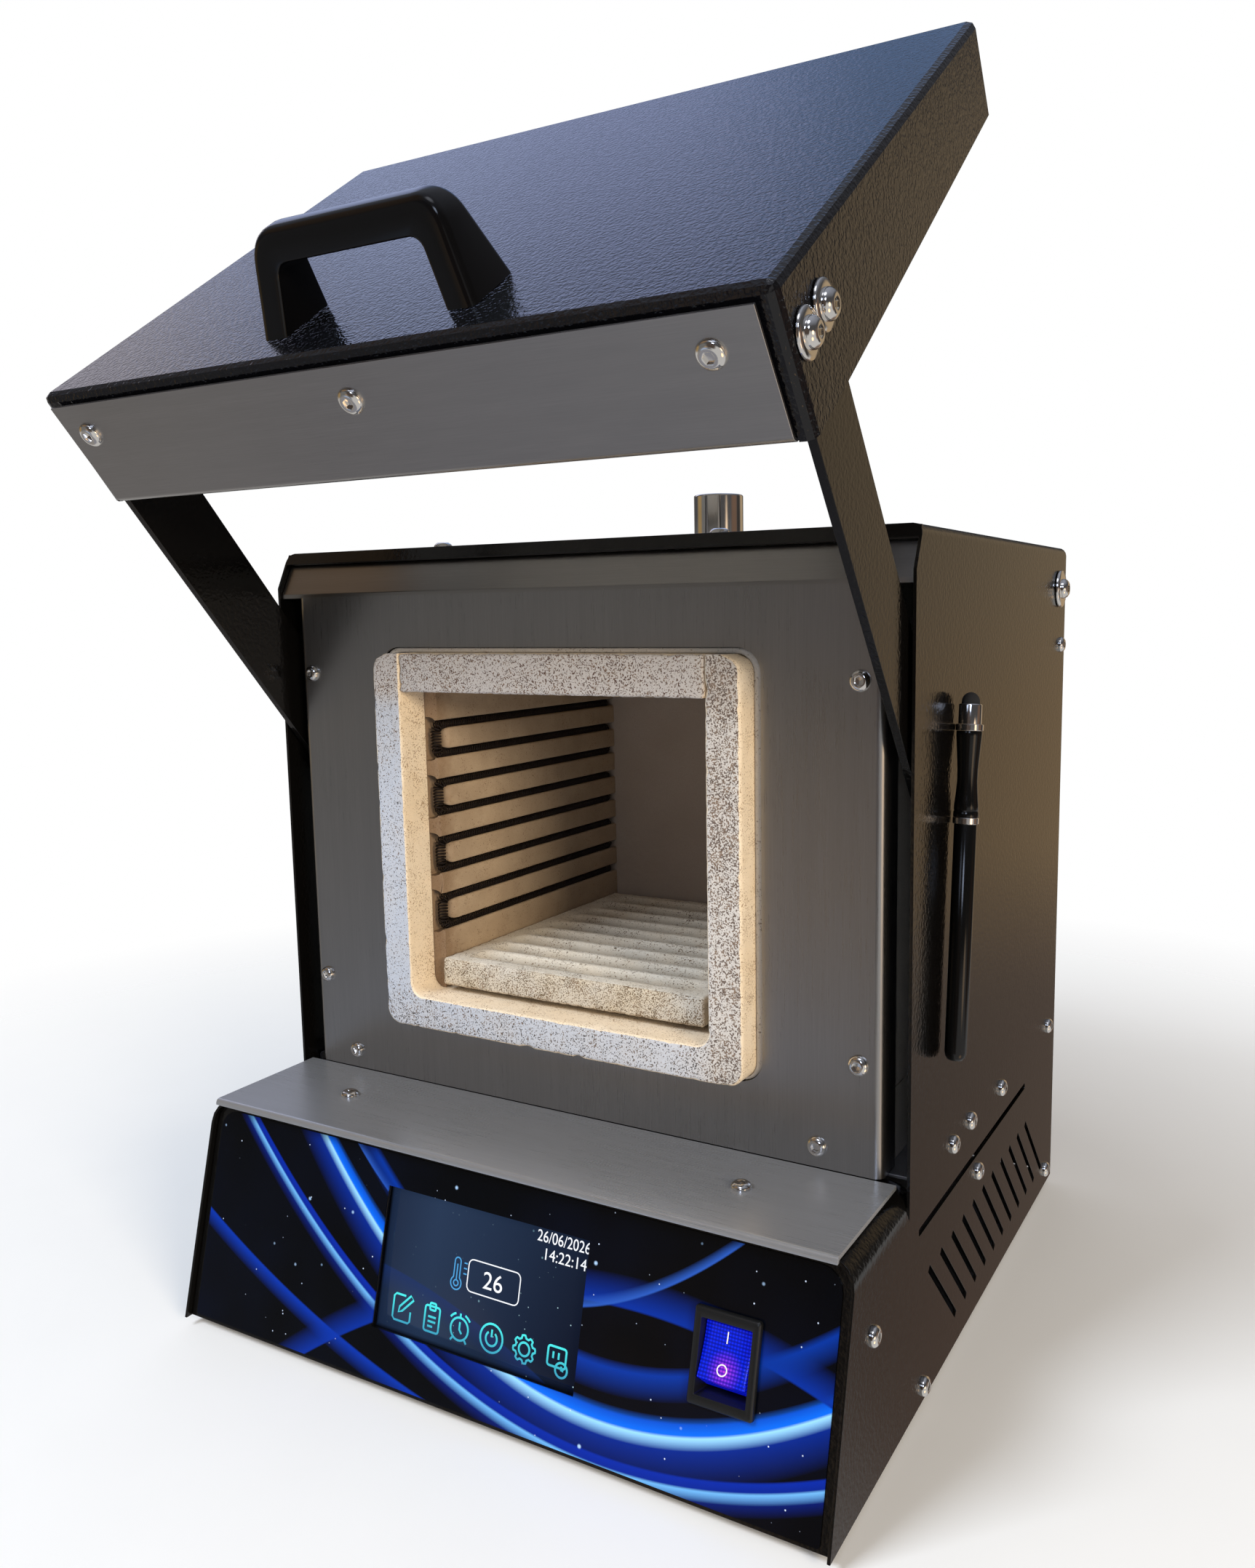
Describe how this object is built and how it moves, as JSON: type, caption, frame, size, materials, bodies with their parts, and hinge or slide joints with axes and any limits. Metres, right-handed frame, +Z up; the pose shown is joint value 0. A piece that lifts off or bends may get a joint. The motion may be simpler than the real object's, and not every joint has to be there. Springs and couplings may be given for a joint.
{
  "type": "dental lab furnace",
  "caption": "Small benchtop muffle furnace with a swing-up door on two side arms, an open ceramic chamber, a leaning control console and a stylus on its side.",
  "frame": {"origin": "on the bench under the middle of the bounding box, on the casing's symmetry plane", "axes": "+Z up, -Y out of the furnace's front, +X to the right as seen from the front"},
  "size_m": [0.3152, 0.3609, 0.5162],
  "materials": {
    "black_paint": "fine orange-peel powder coat, satin",
    "galvanised": "plain zinc sheet",
    "aluminium": "extruded, plain",
    "stainless": "upright brushing, satin",
    "chrome": "polished",
    "ceramic": "rough pressed refractory, speckled",
    "fibre_board": "matt ceramic fibre board",
    "gasket": "matt",
    "heating_wire": "dark oxide",
    "film": "printed film, satin",
    "screen": "glossy",
    "circuit_board": "satin",
    "black_plastic": "satin",
    "rocker_plastic": "tinted, glossy",
    "rubber": "matt",
    "gunmetal": "anodised, glossy",
    "soft_tip": "matt"
  },
  "bodies": {
    "furnace": {"casing": "black_paint", "rear_panel": "black_paint", "base_plate": "galvanised", "foot_front_left": "rubber", "foot_front_right": "rubber", "foot_rear_left": "rubber", "foot_rear_right": "rubber", "inner_floor": "galvanised", "shelf": "stainless", "fascia": "stainless", "window_gasket": "gasket", "muffle_shell": "ceramic", "muffle_roof": "ceramic", "muffle_rear_wall": "ceramic", "heater_plate_left": "ceramic", "heater_plate_right": "ceramic", "heating_coil_left": "heating_wire", "heating_coil_right": "heating_wire", "insulation_floor": "fibre_board", "insulation_left": "fibre_board", "insulation_right": "fibre_board", "insulation_rear": "fibre_board", "insulation_roof": "fibre_board", "chimney": "chrome", "thermocouple": "ceramic", "console_panel": "black_paint", "overlay_film": "film", "lcd_module": "screen", "controller_board": "circuit_board", "switch_frame": "black_plastic", "power_supply": "galvanised", "heat_sink": "aluminium", "solid_state_relay": "black_plastic", "terminal_block": "black_plastic", "cable_gland": "black_plastic", "pivot_bolt_left": "chrome", "pivot_bolt_right": "chrome"},
    "door": {"door_pan": "black_paint", "door_liner": "stainless", "door_insulation": "fibre_board", "door_handle": "black_plastic", "arm_left": "black_paint", "arm_right": "black_paint", "arm_bolt_low_left": "chrome", "arm_bolt_high_left": "chrome", "arm_bolt_low_right": "chrome", "arm_bolt_high_right": "chrome"},
    "rocker": {"rocker": "rocker_plastic"},
    "tray": {"tray": "ceramic"},
    "stylus": {"stylus_barrel": "gunmetal", "stylus_ring_lower": "chrome", "stylus_grip": "gunmetal", "stylus_ring_upper": "chrome", "stylus_tip": "soft_tip"}
  },
  "joints": [
    {"name": "door_swing", "type": "hinge", "parent": "furnace", "child": "door", "pos_m": [0, 0.1534, 0.3136], "axis": [1, 0, 0], "range_deg": [0, 50.5]},
    {"name": "rocker_tilt", "type": "hinge", "parent": "furnace", "child": "rocker", "pos_m": [0.1062, -0.121, 0.05003], "axis": [1, 0, 0], "range_deg": [0, 26]},
    {"name": "tray_slide", "type": "slide", "parent": "furnace", "child": "tray", "axis": [0, -1, 0], "range_m": [0, 0.01]},
    {"name": "stylus_off", "type": "slide", "parent": "furnace", "child": "stylus", "axis": [1, 0, 0], "range_m": [0, 0.08]}
  ]
}
